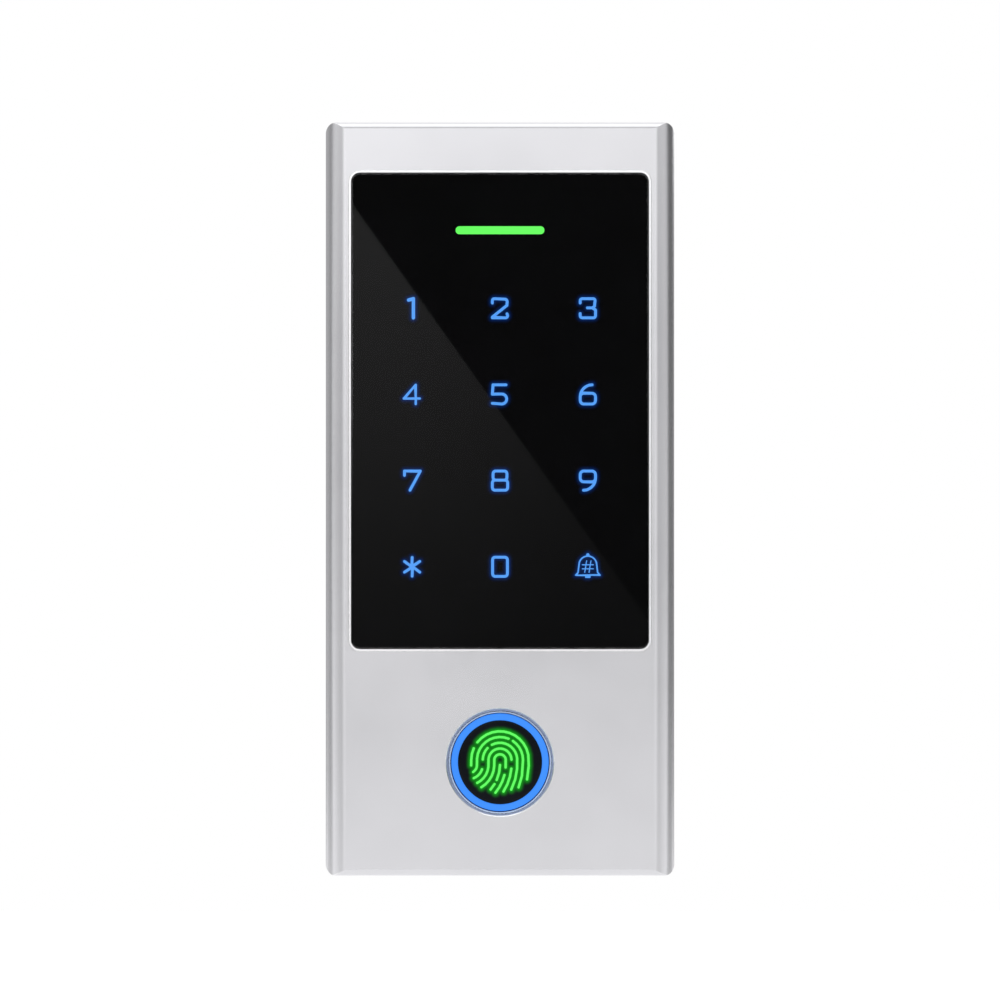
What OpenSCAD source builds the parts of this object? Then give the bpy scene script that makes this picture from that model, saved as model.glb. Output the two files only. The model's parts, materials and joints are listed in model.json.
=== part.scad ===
// Wall-hung access terminal with a glass keypad and a fingerprint sensor.
// X runs across, +Z up, and the front faces -Y. The wall is the plane Y = 0, and the
// origin is on it, level with the middle of the case.

/* [Case] */
// Width of the case
case_w = 73; // [64:0.5:88]
// Height of the case
case_h = 157.3; // [150:0.1:190]
// Distance from the wall to the front face
case_d = 22; // [20:0.5:27]
// Thickness of the side walls
wall_t = 2; // [1.6:0.1:2.4]
// Thickness of the front wall
front_t = 3.2; // [3.1:0.1:3.6]
// Thickness of the top and bottom walls
end_t = 3.4; // [3:0.1:4]
// Rounding of the two long front edges
edge_r = 4.3; // [2:0.1:6]
// Rounding of the short front edges
end_r = 1.4; // [0.6:0.1:2]
// Rounding of the outline's corners, seen from the front
corner_r = 2.3; // [1:0.1:4]
// Gap from the case's rear rim to the wall
wall_gap = 1.2; // [1.2:0.1:1.6]

/* [Glass] */
// Bare case beside the glass
glass_side = 5.5; // [4:0.5:7]
// Bare case above the glass
glass_top = 10.6; // [9:0.1:14]
// Bare case below the glass
glass_bottom = 47.4; // [44:0.1:60]
// Thickness of the glass
glass_t = 1.8; // [1.4:0.1:2.1]
// Width of the bonding ledge under the glass's edge
ledge_w = 2.5; // [2:0.1:3]

/* [Keypad] */
// Distance between key columns
key_pitch_x = 18.35; // [14:0.05:18.5]
// Distance between key rows
key_pitch_z = 18; // [12:0.1:18.2]
// Distance from the case's top to the first row of keys
key_drop = 38.8; // [36:0.1:42]
// Width of the legends' strokes
stroke_w = 0.72; // [0.5:0.01:1]
// Width of the status bar
status_w = 18.6; // [10:0.1:30]
// Height of the status bar
status_h = 1.7; // [1:0.1:3]
// Distance from the case's top to the status bar
status_drop = 22.5; // [20:0.1:26]

/* [Sensor] */
// Distance from the case's bottom to the sensor's centre
sensor_rise = 23.7; // [22.5:0.1:26]
// Outer diameter of the light ring
ring_d = 20.6; // [17:0.1:24.7]
// Radial width of the light ring
ring_w = 1.5; // [1:0.1:2]
// Width of the dark lip round the light ring
lip_w = 0.35; // [0.3:0.05:0.6]

/* [Wall plate] */
// Thickness of the plate's sheet
plate_t = 1.2; // [1:0.1:1.4]
// Distance between the corner screw holes, across
hole_pitch_x = 40; // [30:1:44]
// Distance between the corner screw holes, up and down
hole_pitch_z = 100; // [80:1:110]
// Distance between the two slots, for a round wall box
slot_pitch = 60; // [56:1:64]
// Diameter of the corner screw holes
hole_d = 4.4; // [3.6:0.1:5]
// Diameter of the cable that the grommet takes
cable_d = 5; // [4:0.1:6]

/* [Lock] */
// Nominal diameter of the lock screw's thread
lock_d = 2.9; // [2.5:0.1:3.4]
// Diameter of the lock screw's head
lock_head_d = 5.5; // [5:0.1:6]

/* [Hidden] */
$fn = 48;
slack = 0.2;     // gap round a piece that drops into a recess
run_fit = 0.08;  // radial clearance of a rod that turns or slides in its hole

// Case
top_z = case_h / 2;
front_y = -case_d;
rear_y = -wall_gap;
inner_y = front_y + front_t;
rear_edge_r = 1.2;
inner_w = case_w - 2 * wall_t;
inner_top = top_z - end_t;
chamber_z = inner_top - 9.65;   // half the height of the sealed chamber
web_t = 1.6;                    // webs between the chamber and the two end bays
bay_z = chamber_z + web_t;
chamber_r = 2;

// Rear cover and its seal
plate_room = 1.4;               // free depth between the wall plate and the cover
cover_y = -plate_t - plate_room;
cover_t = 2;
seal_t = 0.8;
seal_w = 1.6;
cover_front = cover_y - cover_t;
cover_ledge_y = cover_front - seal_t;
cover_ledge_w = 2;
cover_screw_x = inner_w / 2 - 4.5;
cover_screw_z = [chamber_z - 4.6, -chamber_z + 6.6, -chamber_z + 27];
cover_screws = [for (z = cover_screw_z, s = [-1, 1]) [s * cover_screw_x, z]];
screw_r = 1.25;
head_sink = 1.2;

// Glass stack, from the front backwards
glass_w = case_w - 2 * glass_side;
glass_h = case_h - glass_top - glass_bottom;
glass_z = (glass_bottom - glass_top) / 2;
glass_r = 1.8;
glass_front = front_y + 0.05;
ink_t = 0.1;
ink_y = glass_front + glass_t;
adhesive_t = 0.2;
ledge_y = ink_y + ink_t + adhesive_t;
window_w = glass_w - 2 * ledge_w;
window_h = glass_h - 2 * ledge_w;
window_bottom = glass_z - window_h / 2;
window_top = glass_z + window_h / 2;
window_gap = 0.6;
film_y = ink_y + ink_t;
film_t = 0.15;
diffuser_y = film_y + film_t + 0.05;
diffuser_t = 0.45;
frame_y = diffuser_y + diffuser_t + 0.05;
keypad_y = inner_y + 2.7;       // front face of the keypad board
frame_t = keypad_y - 0.05 - frame_y;
keypad_t = 1;
cell = 14.6;
key_columns = [-1, 0, 1];
key_rows = [0, 1, 2, 3];
status_z = top_z - status_drop;
led_h = 0.7;

// Boards
board_w = inner_w - 2 * cover_ledge_w - 0.6;
board_top = chamber_z - cover_ledge_w - 0.2;
keypad_bottom = window_bottom - 3;
main_bottom = keypad_bottom - 2;
board_gap = 3.1;
main_y = keypad_y + keypad_t + board_gap;
main_t = 1.6;
main_rear = main_y + main_t;
post_x = window_w / 2 + 2.1;
post_r = 2;
posts = [for (z = [window_top - 13.5, window_bottom + 6], s = [-1, 1]) [s * post_x, z]];
post_screw_r = 1;
post_depth = 3;                 // how far a stud enters its boss
notch = 8;                      // corner cut of the boards round the cover's bosses

// Sensor stack
sensor_z = -top_z + sensor_rise;
ring_r = ring_d / 2;
barrel_r = ring_r + lip_w;
hole_r = barrel_r + 0.1;
hole_bevel = 0.6;
sensor_front = front_y + 0.15;
ring_t = 1.45;
window_r = ring_r - ring_w - 0.05;
sensor_glass_t = 1;
icon_t = 0.25;
bore_r = ring_r - 0.8;
flange_r = barrel_r + 2.35;
gasket_t = 0.6;
flange_t = 1.5;
flange_y = inner_y + gasket_t;
clamp_y = flange_y + flange_t;
clamp_t = 0.8;
clamp_x = flange_r + 3;
clamp_boss_r = 2.6;
sensor_board_y = sensor_front + ring_t + 1.2;
sensor_board_t = 1;

// Ribbon from the sensor to the main board, in (Y, Z)
ribbon_w = 6;
ribbon_t = 0.2;
socket_t = 1.2;
sensor_socket_y = sensor_board_y + sensor_board_t;
ribbon_end_z = main_bottom + 1;
ribbon_path = [
  [sensor_socket_y + 0.6, sensor_z + 4.2], [sensor_socket_y + 0.6, sensor_z + 5.6],
  [clamp_y + 1.8, sensor_z + 8.6], [main_y - 0.6, main_bottom - 4],
  [main_y - 0.6, ribbon_end_z]
];

// Wall plate, hooks and lock
plate_w = case_w - 11;
bend_in = 0.6;
bend_out = bend_in + plate_t;
hook_w = 8;
hook_x = 20;
hook_gap = 0.25;
lip_t = 1.5;
lip_room = 1;                   // free depth between the plate and the hook lip
lip_y = -plate_t - lip_room - lip_t;   // front face of the case's hook lip
pivot_y = lip_y + lip_t / 2;
pivot_z = inner_top - 3.25;
leg_top = pivot_z - lip_t / 2 - 0.15;
tip_rear = lip_y - hook_gap;
tip_top = pivot_z + 2;
hook_floor = -8;                // depth of the hook bay
plate_top = leg_top - 5;
lock_floor = -12;               // depth of the lock bay
lock_y = -6;
tab_w = 16;
tab_end = -10;
tab_z = -inner_top + 0.35;      // underside of the tab
plate_bottom = tab_z + 5;
nut_h = 3;
nut_r = 2.9;
nut_neck_r = 2.1;
lock_r = lock_d / 2;
lock_head_r = lock_head_d / 2;
lock_head_h = 1.36;
lock_washer_t = 0.5;
lock_pocket_z = -top_z + 2.05;
lock_washer_z = lock_pocket_z - 0.05 - lock_washer_t;
lock_head_z = lock_washer_z - 0.02;
stop_x = 24;
stop_z = -chamber_z + 5.6;
aperture = [26, 16];
cable_z = -14;
slot_l = 8;
slot_r = 2.1;

// Grommet
neck_r = cable_d / 2 + 2.5;
rim_r = neck_r + 1.5;
rim_t = 0.9;

// Tamper switch
tamper_x = 12;
tamper_z = 40;
rod_r = 1.4;
collar_r = 2.2;
collar_y = main_rear + 2.2;
collar_t = 0.6;
switch_w = 7;
switch_top = main_rear + 5.4;
switch_wall = 0.8;
spring_r = 1.75;
wire_r = 0.14;
coils = 3;

// ---- Shared shapes ----

// Solid of an X-Z outline between two depths
module slab(y0, y1) {
  translate([0, y1, 0]) rotate([90, 0, 0]) linear_extrude(y1 - y0) children();
}

// Solid of a Y-Z profile between two places across
module along_x(x0, x1) {
  translate([x0, 0, 0]) rotate([90, 0, 90]) linear_extrude(x1 - x0) children();
}

// Round bar that points backwards
module peg(at, r, y0, y1, sides = 48) {
  translate([at[0], y1, at[1]]) rotate([90, 0, 0]) cylinder(r = r, h = y1 - y0, $fn = sides);
}

// Block on a board: centre across and up, width, height, and its two depths
module chip(x, z, w, h, y0, y1) {
  translate([x - w / 2, y0, z - h / 2]) cube([w, y1 - y0, h]);
}

module rounded(w, h, r) {
  square([w - 2 * r, h], center = true);
  square([w, h - 2 * r], center = true);
  for (x = [-1, 1], y = [-1, 1]) {
    translate([x * (w / 2 - r), y * (h / 2 - r)]) circle(r);
  }
}

module glass_outline(inset, r = glass_r) {
  translate([0, glass_z]) rounded(glass_w - 2 * inset, glass_h - 2 * inset, r);
}

module window_outline(inset) {
  translate([0, glass_z]) rounded(window_w - 2 * inset, window_h - 2 * inset, 1);
}

module slot_outline(w, h) {
  square([w - h, h], center = true);
  for (s = [-1, 1]) translate([s * (w - h) / 2, 0]) circle(h / 2);
}

// Low screw that enters forwards, with a cross recess
module screw(at, r, head_r, head_h, seat_y, tip_y) {
  difference() {
    union() {
      peg(at, head_r, seat_y, seat_y + head_h);
      peg(at, r, tip_y, seat_y + head_h / 2);
    }
    for (a = [0, 90]) {
      translate([at[0], seat_y + head_h, at[1]]) rotate([0, a, 0])
        cube([head_r * 1.1, head_h, head_r * 0.28], center = true);
    }
  }
}

// Line of round-ended strokes through the points
module stroke(points, w = stroke_w) {
  for (i = [0 : len(points) - 2]) {
    hull() {
      translate(points[i]) circle(d = w, $fn = 14);
      translate(points[i + 1]) circle(d = w, $fn = 14);
    }
  }
}

// Points of an arc
function arc(c, r, a0, a1, steps = 4) =
  [for (i = [0 : steps]) c + r * [cos(a0 + (a1 - a0) * i / steps), sin(a0 + (a1 - a0) * i / steps)]];

// Closed loop with round corners, between two heights
function box_loop(x, y0, y1, r) = concat(
  arc([x - r, y0 + r], r, -90, 0), arc([x - r, y1 - r], r, 0, 90),
  arc([-x + r, y1 - r], r, 90, 180), arc([-x + r, y0 + r], r, 180, 270), [[x - r, y0]]);

// ---- Legends, each about its own centre ----

hook_r = 0.45;
gx = 1.6;   // half width of a digit's centre line
gy = 2;     // half height of a digit's centre line

module digit_1() {
  stroke([[-0.75, 1.72], [0.25, 2], [0.25, -gy]], stroke_w * 1.15);
}

module digit_2() {
  stroke(concat([[-gx, 1.1]], arc([-gx + hook_r, gy - hook_r], hook_r, 180, 90),
    arc([gx - 0.6, gy - 0.6], 0.5, 90, 0), [[gx - 0.15, 0.6], [-gx, -1.85], [-gx, -gy]],
    arc([gx - hook_r, -gy + hook_r], hook_r, -90, 0), [[gx - 0.15, -1.15]]));
}

module digit_3() {
  stroke(concat([[-gx, 1.1]], arc([-gx + hook_r, gy - hook_r], hook_r, 180, 90),
    arc([gx - 0.5, gy - 0.4], 0.4, 90, 0), [[gx - 0.2, 0.45], [0.95, 0.08], [-0.1, 0.08]]));
  stroke(concat([[0.95, 0.08], [gx, -0.35]], arc([gx - hook_r, -gy + hook_r], hook_r, 0, -90),
    arc([-gx + hook_r, -gy + hook_r], hook_r, -90, -180), [[-gx, -1.1]]));
}

module digit_4() {
  stroke([[0.75, -gy], [0.75, gy], [-1.75, -0.85], [gx, -0.85]], stroke_w * 0.85);
}

module digit_5() {
  stroke(concat([[1.25, gy], [-1.45, gy], [-1.6, 0.05]], arc([0.35, -0.95], 1.05, 95, -90, 8),
    [[-gx, -1.85]]));
}

module digit_6() {
  stroke(concat([[0.9, gy], [0.3, 1.95]], arc([0.9, -0.5], 2.5, 110, 180, 6)));
  stroke(box_loop(gx, -gy, 0.25, 0.75));
}

module digit_7() {
  stroke([[-gx, 1.1], [-gx, gy], [1.7, gy], [-0.45, -gy]]);
}

module digit_8() {
  stroke(box_loop(gx - 0.15, 0.1, gy, 0.55));
  stroke(box_loop(gx, -gy, 0.1, 0.55));
}

module digit_9() {
  rotate(180) digit_6();
}

module digit_0() {
  stroke(box_loop(gx - 0.05, -gy, gy, 0.55));
}

module star() {
  for (a = [90, 35, -35]) {
    rotate(a) stroke([[-1.95, 0], [1.95, 0]]);
  }
}

module bell() {
  dome = concat([[-2.55, -1.75], [-2.05, -1.2], [-1.85, 0.4]], arc([0, 0.4], 1.85, 180, 0, 12),
    [[2.05, -1.2], [2.55, -1.75], [-2.55, -1.75]]);
  stroke(dome, 0.44);
  translate([0, 2.5]) circle(0.4, $fn = 16);
  stroke([[-0.35, -2.1], [0.35, -2.1]], 0.62);
  for (s = [-1, 1]) {
    stroke([[s * 0.45 - 0.2, -1.15], [s * 0.45 + 0.2, 1.25]], 0.34);
    stroke([[-1.15, s * 0.42], [1.15, s * 0.42]], 0.34);
  }
}

module legend(column, row) {
  if (row == 0 && column == -1) digit_1();
  if (row == 0 && column == 0) digit_2();
  if (row == 0 && column == 1) digit_3();
  if (row == 1 && column == -1) digit_4();
  if (row == 1 && column == 0) digit_5();
  if (row == 1 && column == 1) digit_6();
  if (row == 2 && column == -1) digit_7();
  if (row == 2 && column == 0) digit_8();
  if (row == 2 && column == 1) digit_9();
  if (row == 3 && column == -1) star();
  if (row == 3 && column == 0) digit_0();
  if (row == 3 && column == 1) bell();
}

// One child at each key's centre; $column and $row name the key
module at_keys() {
  for (column = key_columns, row = key_rows) {
    $column = column;
    $row = row;
    translate([column * key_pitch_x, top_z - key_drop - row * key_pitch_z]) children();
  }
}

// ---- Fingerprint icon ----

ridge_pitch = 1.2;
curl = [-6.6, -1];     // centre of the left-hand tails
sweep = [-8, -0.9];    // centre of the right-hand tails
// Ridge number and the two ends of each line: below 0 is the left tail, 0 to 180 the
// arch, and above 180 the right tail
ridges = [
  [0, 181, 204], [0, 211, 221], [1, -60, 184], [1, 194, 220], [2, -64, 178], [2, 185, 213],
  [3, -68, -18], [3, 2, 44], [3, 62, 207], [4, -56, 112], [4, 124, 202], [5, -12, 24],
  [5, 38, 193]
];

function ridge_point(k, a) =
  let (r = k * ridge_pitch)
  a < 0 ? curl + (-curl[0] - r) * [cos(a), sin(a)]
  : a <= 180 ? r * [-cos(a), sin(a)]
  : sweep + (r - sweep[0]) * [cos(a - 180), -sin(a - 180)];

function ridge_line(k, a0, a1) =
  let (steps = ceil((a1 - a0) / 12))
  [for (i = [0 : steps]) ridge_point(k, a0 + (a1 - a0) * i / steps)];

module icon_outline() {
  translate([0, sensor_z + 0.5]) {
    for (line = ridges) stroke(ridge_line(line[0], line[1], line[2]), 0.6);
  }
}

// ---- Wall plate and lock ----

// Quarter of a bend about a centre in the Y-Z plane, in the quadrant (sy, sz)
module bend(y, z, sy, sz) {
  translate([y, z]) intersection() {
    difference() {
      circle(bend_out);
      circle(bend_in);
    }
    translate([sy < 0 ? -bend_out : 0, sz < 0 ? -bend_out : 0]) square(bend_out);
  }
}

// Y-Z profile of a hook, from the plate's top edge to its tip
module hook_profile() {
  low = leg_top - bend_out;
  turn = leg_top - plate_t + bend_out;
  translate([-plate_t, plate_top - 1]) square([plate_t, low - plate_top + 1]);
  bend(-bend_out, low, 1, 1);
  translate([tip_rear + bend_in, leg_top - plate_t])
    square([-bend_out - tip_rear - bend_in, plate_t]);
  bend(tip_rear + bend_in, turn, -1, -1);
  translate([tip_rear - plate_t, turn]) square([plate_t, tip_top - turn]);
}

// Y-Z profile of the tab that carries the lock screw
module tab_profile() {
  high = tab_z + bend_out;
  translate([-plate_t, high]) square([plate_t, plate_bottom + 1 - high]);
  bend(-bend_out, high, 1, -1);
  translate([tab_end, tab_z]) square([-bend_out - tab_end, plate_t]);
}

module mounting_plate() {
  plate_h = plate_top - plate_bottom;
  color("silver") difference() {
    union() {
      slab(-plate_t, 0)
        translate([0, (plate_top + plate_bottom) / 2]) rounded(plate_w, plate_h, 3);
      for (s = [-1, 1]) {
        along_x(s * hook_x - hook_w / 2, s * hook_x + hook_w / 2) hook_profile();
        peg([s * stop_x, stop_z], 2.5, cover_y + 0.05, -plate_t);
      }
      along_x(-tab_w / 2, tab_w / 2) tab_profile();
    }
    for (x = [-1, 1], z = [-1, 1]) {
      peg([x * hole_pitch_x / 2, z * hole_pitch_z / 2], hole_d / 2, -2 * plate_t, plate_t);
    }
    for (s = [-1, 1]) {
      slab(-2 * plate_t, plate_t) translate([0, s * slot_pitch / 2])
        rotate(90) slot_outline(slot_l, 2 * slot_r);
    }
    slab(-2 * plate_t, plate_t) translate([0, cable_z]) rounded(aperture[0], aperture[1], 3);
    translate([0, lock_y, tab_z - 1]) cylinder(r = nut_neck_r, h = plate_t + 2);
  }
}

module clinch_nut() {
  color("lightgray") translate([0, lock_y, tab_z]) difference() {
    union() {
      cylinder(r = nut_neck_r, h = plate_t + 0.1);
      translate([0, 0, plate_t]) cylinder(r = nut_r, h = nut_h - 0.3);
      translate([0, 0, plate_t + nut_h - 0.3]) cylinder(r1 = nut_r, r2 = nut_r - 0.3, h = 0.3);
    }
    translate([0, 0, -1]) cylinder(r = lock_r + 0.05, h = plate_t + nut_h + 2);
  }
}

module lock_washer() {
  color("white") translate([0, lock_y, lock_washer_z]) difference() {
    cylinder(r = lock_head_r + 0.35, h = lock_washer_t);
    translate([0, 0, -1]) cylinder(r = lock_r + run_fit, h = lock_washer_t + 2);
  }
}

module lock_screw() {
  tip = tab_z + plate_t + nut_h + 0.5;
  color("dimgray") translate([0, lock_y, lock_head_z]) difference() {
    union() {
      translate([0, 0, -lock_head_h]) cylinder(r1 = lock_head_r - 0.5, r2 = lock_head_r, h = 0.5);
      translate([0, 0, 0.5 - lock_head_h]) cylinder(r = lock_head_r, h = lock_head_h - 0.5);
      translate([0, 0, -0.2]) cylinder(r = lock_r, h = tip - lock_head_z - 0.3);
      translate([0, 0, tip - lock_head_z - 0.5]) cylinder(r1 = lock_r, r2 = lock_r - 0.4, h = 0.5);
    }
    // Six-sided socket with a pin in its middle
    translate([0, 0, -lock_head_h - 0.1]) difference() {
      cylinder(r = 1.15, h = 1.1, $fn = 6);
      cylinder(r = 0.4, h = 1.1, $fn = 24);
    }
  }
}

// ---- Case ----

// Section of the case: across, and from the front face to the rear rim
module case_section(width, r) {
  half = width / 2;
  e = rear_edge_r;
  translate([-half, front_y + r]) square([width, rear_y - e - front_y - r]);
  translate([-half + r, front_y]) square([width - 2 * r, r]);
  translate([-half + e, rear_y - e]) square([width - 2 * e, e]);
  for (s = [-1, 1]) {
    translate([s * (half - r), front_y + r]) circle(r);
    translate([s * (half - e), rear_y - e]) circle(e);
  }
}

module case_block() {
  intersection() {
    translate([0, 0, -top_z]) linear_extrude(case_h) case_section(case_w, edge_r);
    translate([-case_w / 2, 0, 0]) rotate([0, 90, 0])
      linear_extrude(case_w) case_section(case_h, end_r);
    slab(front_y, rear_y) rounded(case_w, case_h, corner_r);
  }
}

// Room inside the case: the sealed chamber, and the bays for the hooks and the lock
module case_rooms() {
  bay_h = inner_top - bay_z;
  slab(inner_y, 1) rounded(inner_w, 2 * chamber_z, chamber_r);
  slab(inner_y, hook_floor - web_t) translate([-inner_w / 2, 0]) square([inner_w, inner_top]);
  slab(inner_y, lock_floor - web_t)
    translate([-inner_w / 2, -inner_top]) square([inner_w, inner_top]);
  slab(hook_floor, 1) translate([-inner_w / 2, bay_z]) square([inner_w, bay_h]);
  slab(lock_floor, 1) translate([-inner_w / 2, -inner_top]) square([inner_w, bay_h]);
  slab(-plate_t, 1) square([inner_w, 2 * inner_top], center = true);
}

// Webs between the chamber and the two bays, which rest on the front face of the plate
module case_webs() {
  for (web = [[1, hook_floor], [-1, lock_floor]]) {
    slab(web[1], -plate_t) translate([0, web[0] * (chamber_z + web_t / 2)])
      square([inner_w, web_t], center = true);
  }
}

module cover_ledge() {
  slab(cover_ledge_y - 2, cover_ledge_y) difference() {
    rounded(inner_w + 1, 2 * chamber_z + 1, chamber_r);
    rounded(inner_w - 2 * cover_ledge_w, 2 * chamber_z - 2 * cover_ledge_w, 1);
  }
}

// Rounded lip along the hook bay, which hangs on the plate's hooks
module hook_lip() {
  along_x(-inner_w / 2 - 0.5, inner_w / 2 + 0.5) {
    translate([pivot_y, pivot_z]) circle(lip_t / 2);
    translate([lip_y, pivot_z]) square([lip_t, inner_top + 0.5 - pivot_z]);
  }
  // Cheeks that keep the hooks from sliding sideways
  for (s = [-1, 1], t = [-1, 1]) {
    x = s * hook_x + t * (hook_w / 2 + 1.1);
    translate([x - 0.6, hook_floor - 0.5, bay_z - 0.5])
      cube([1.2, lip_y + 0.5 - hook_floor, inner_top - bay_z + 1]);
  }
}

// Notch for the lock screw, open to the rear, with a pocket for its head
module lock_notch() {
  for (cut = [[lock_r + 0.35, -inner_top + 1], [lock_head_r + 0.75, lock_pocket_z]]) {
    translate([0, lock_y, -top_z - 1]) cylinder(r = cut[0], h = cut[1] + top_z + 1);
    translate([-cut[0], lock_y, -top_z - 1])
      cube([2 * cut[0], -lock_y + 1, cut[1] + top_z + 1]);
  }
}

module front_housing() {
  color("gainsboro") difference() {
    union() {
      difference() {
        case_block();
        case_rooms();
      }
      case_webs();
      cover_ledge();
      hook_lip();
      for (at = cover_screws) peg(at, 2.6, inner_y - 0.5, cover_front);
      for (at = posts) peg(at, post_r, inner_y - 0.5, keypad_y);
      for (s = [-1, 1]) peg([s * clamp_x, sensor_z], clamp_boss_r, inner_y - 0.5, clamp_y);
    }
    slab(front_y - 1, ledge_y) glass_outline(-slack, glass_r + slack);
    hull() {
      slab(front_y - 0.01, front_y) glass_outline(-slack - 0.4, glass_r + slack + 0.4);
      slab(front_y + 0.4, front_y + 0.41) glass_outline(-slack, glass_r + slack);
    }
    slab(front_y, keypad_y) window_outline(0);
    peg([0, sensor_z], hole_r, front_y - 1, inner_y + 1, 96);
    translate([0, front_y, sensor_z]) rotate([-90, 0, 0])
      cylinder(r1 = hole_r + hole_bevel, r2 = hole_r, h = hole_bevel, $fn = 96);
    for (at = posts) peg(at, post_screw_r, keypad_y - post_depth - 0.2, keypad_y + 1);
    for (at = cover_screws) peg(at, screw_r, cover_front - 7, cover_front + 1);
    for (s = [-1, 1]) peg([s * clamp_x, sensor_z], 1, clamp_y - 4.2, clamp_y + 1);
    lock_notch();
  }
}

module rear_cover() {
  color("#26262a") difference() {
    slab(cover_front, cover_y)
      rounded(inner_w - 2 * slack, 2 * chamber_z - 2 * slack, chamber_r - slack);
    for (at = cover_screws) {
      peg(at, screw_r + 0.15, cover_front - 1, cover_y + 1);
      peg(at, 2.6, cover_y - head_sink, cover_y + 1);
    }
    peg([0, cable_z], neck_r, cover_front - 1, cover_y + 1);
    peg([tamper_x, tamper_z], rod_r + 0.5, cover_front - 1, cover_y + 1);
    // Room for the heads of the wall screws
    for (x = [-1, 1], z = [-1, 1]) {
      peg([x * hole_pitch_x / 2, z * hole_pitch_z / 2], 5, cover_y - head_sink, cover_y + 1);
    }
    for (s = [-1, 1]) {
      slab(cover_y - head_sink, cover_y + 1) translate([0, s * slot_pitch / 2])
        rotate(90) slot_outline(slot_l + 6, 10);
    }
  }
}

module rear_seal() {
  color("#303034") slab(cover_ledge_y, cover_front) difference() {
    rounded(inner_w - 2 * slack, 2 * chamber_z - 2 * slack, chamber_r - slack);
    rounded(inner_w - 2 * slack - 2 * seal_w, 2 * chamber_z - 2 * slack - 2 * seal_w, 1);
    for (at = cover_screws) translate(at) circle(2.7);
  }
}

module rear_cover_screws() {
  color("silver") for (at = cover_screws) {
    screw(at, screw_r - 0.03, 2.3, head_sink, cover_y - head_sink, cover_front - 6.5);
  }
}

module cable_grommet() {
  color("#202022") difference() {
    union() {
      peg([0, cable_z], neck_r, cover_front - rim_t, cover_y + rim_t);
      peg([0, cable_z], rim_r, cover_front - rim_t, cover_front);
      peg([0, cable_z], rim_r, cover_y, cover_y + rim_t);
    }
    peg([0, cable_z], cable_d / 2, cover_front - 2 * rim_t, cover_y + 2 * rim_t);
  }
}

// ---- Glass keypad ----

module touch_glass() {
  bevel = 0.25;
  color([0.05, 0.05, 0.06]) {
    slab(glass_front + bevel, ink_y) glass_outline(0);
    hull() {
      slab(glass_front + bevel, glass_front + bevel + 0.01) glass_outline(0);
      slab(glass_front, glass_front + 0.01) glass_outline(bevel, glass_r - bevel);
    }
  }
}

module legend_mask() {
  color("#08080a") slab(ink_y, ink_y + ink_t) difference() {
    glass_outline(0.3, glass_r - 0.3);
    at_keys() legend($column, $row);
    translate([0, status_z]) slot_outline(status_w, status_h);
  }
}

module key_legends() {
  color("dodgerblue") slab(ink_y, ink_y + ink_t) at_keys() legend($column, $row);
}

module status_bar() {
  color("lime") slab(ink_y, ink_y + ink_t)
    translate([0, status_z]) slot_outline(status_w, status_h);
}

module glass_adhesive() {
  color("#3a3a3c") slab(ink_y + ink_t, ledge_y) difference() {
    glass_outline(0.3, glass_r - 0.3);
    window_outline(0);
  }
}

// Clear electrode film, with its tail down to the keypad board
module touch_film() {
  tail_z = window_bottom + window_gap / 2;
  color("lightcyan") {
    slab(film_y, film_y + film_t) window_outline(window_gap / 2);
    translate([-5, film_y, tail_z]) cube([10, keypad_y - film_y, film_t]);
  }
}

module light_diffuser() {
  color("white") slab(diffuser_y, diffuser_y + diffuser_t) window_outline(window_gap);
}

module light_frame() {
  color("#151517") slab(frame_y, frame_y + frame_t) difference() {
    window_outline(window_gap);
    at_keys() square(cell, center = true);
    translate([0, status_z]) square([status_w + 2, 6], center = true);
  }
}

// Outline of a board, cut back at its top corners round the cover's bosses
module board_outline(bottom) {
  difference() {
    translate([-board_w / 2, bottom]) square([board_w, board_top - bottom]);
    for (s = [-1, 1]) {
      translate([s * board_w / 2, board_top]) square(2 * notch, center = true);
    }
    for (at = posts) translate(at) circle(post_screw_r + 0.1);
  }
}

module keypad_board() {
  color("darkgreen") slab(keypad_y, keypad_y + keypad_t) board_outline(keypad_bottom);
}

module key_leds() {
  color("lightyellow") slab(keypad_y - led_h, keypad_y) at_keys() square([3, 1.4], center = true);
}

module status_leds() {
  color("lightyellow") for (i = [-1.5 : 1.5]) {
    chip(i * status_w / 4, status_z, 1.6, 0.8, keypad_y - led_h, keypad_y);
  }
}

module touch_controller() {
  rear = keypad_y + keypad_t;
  color("#1c1c1e") {
    chip(-14, 24, 7, 7, rear, rear + 1);
    chip(14, 30, 5, 4, rear, rear + 0.9);
  }
}

// Brass posts between the two boards, with studs that enter the case's bosses
module standoffs() {
  color("gold") for (at = posts) {
    difference() {
      union() {
        peg(at, 2.1, keypad_y + keypad_t, main_y, 6);
        peg(at, post_screw_r - 0.03, keypad_y - post_depth, keypad_y + keypad_t + 0.1);
      }
      peg(at, 0.8, main_y - 2.4, main_y + 1);
    }
  }
}

// ---- Fingerprint sensor ----

module sensor_peg(r, y0, y1) {
  peg([0, sensor_z], r, y0, y1, 96);
}

module sensor_barrel() {
  color("#0c1226") difference() {
    union() {
      sensor_peg(barrel_r, sensor_front, clamp_y);
      sensor_peg(flange_r, flange_y, clamp_y);
    }
    sensor_peg(ring_r, sensor_front - 1, sensor_front + ring_t);
    sensor_peg(bore_r, sensor_front - 1, clamp_y + 1);
  }
}

module sensor_light_ring() {
  color("deepskyblue") difference() {
    sensor_peg(ring_r, sensor_front, sensor_front + ring_t);
    sensor_peg(ring_r - ring_w, sensor_front - 1, sensor_front + ring_t + 1);
  }
}

module sensor_window() {
  color("#08080c") difference() {
    sensor_peg(window_r, sensor_front, sensor_front + sensor_glass_t);
    slab(sensor_front - 1, sensor_front + icon_t) icon_outline();
  }
}

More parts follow.
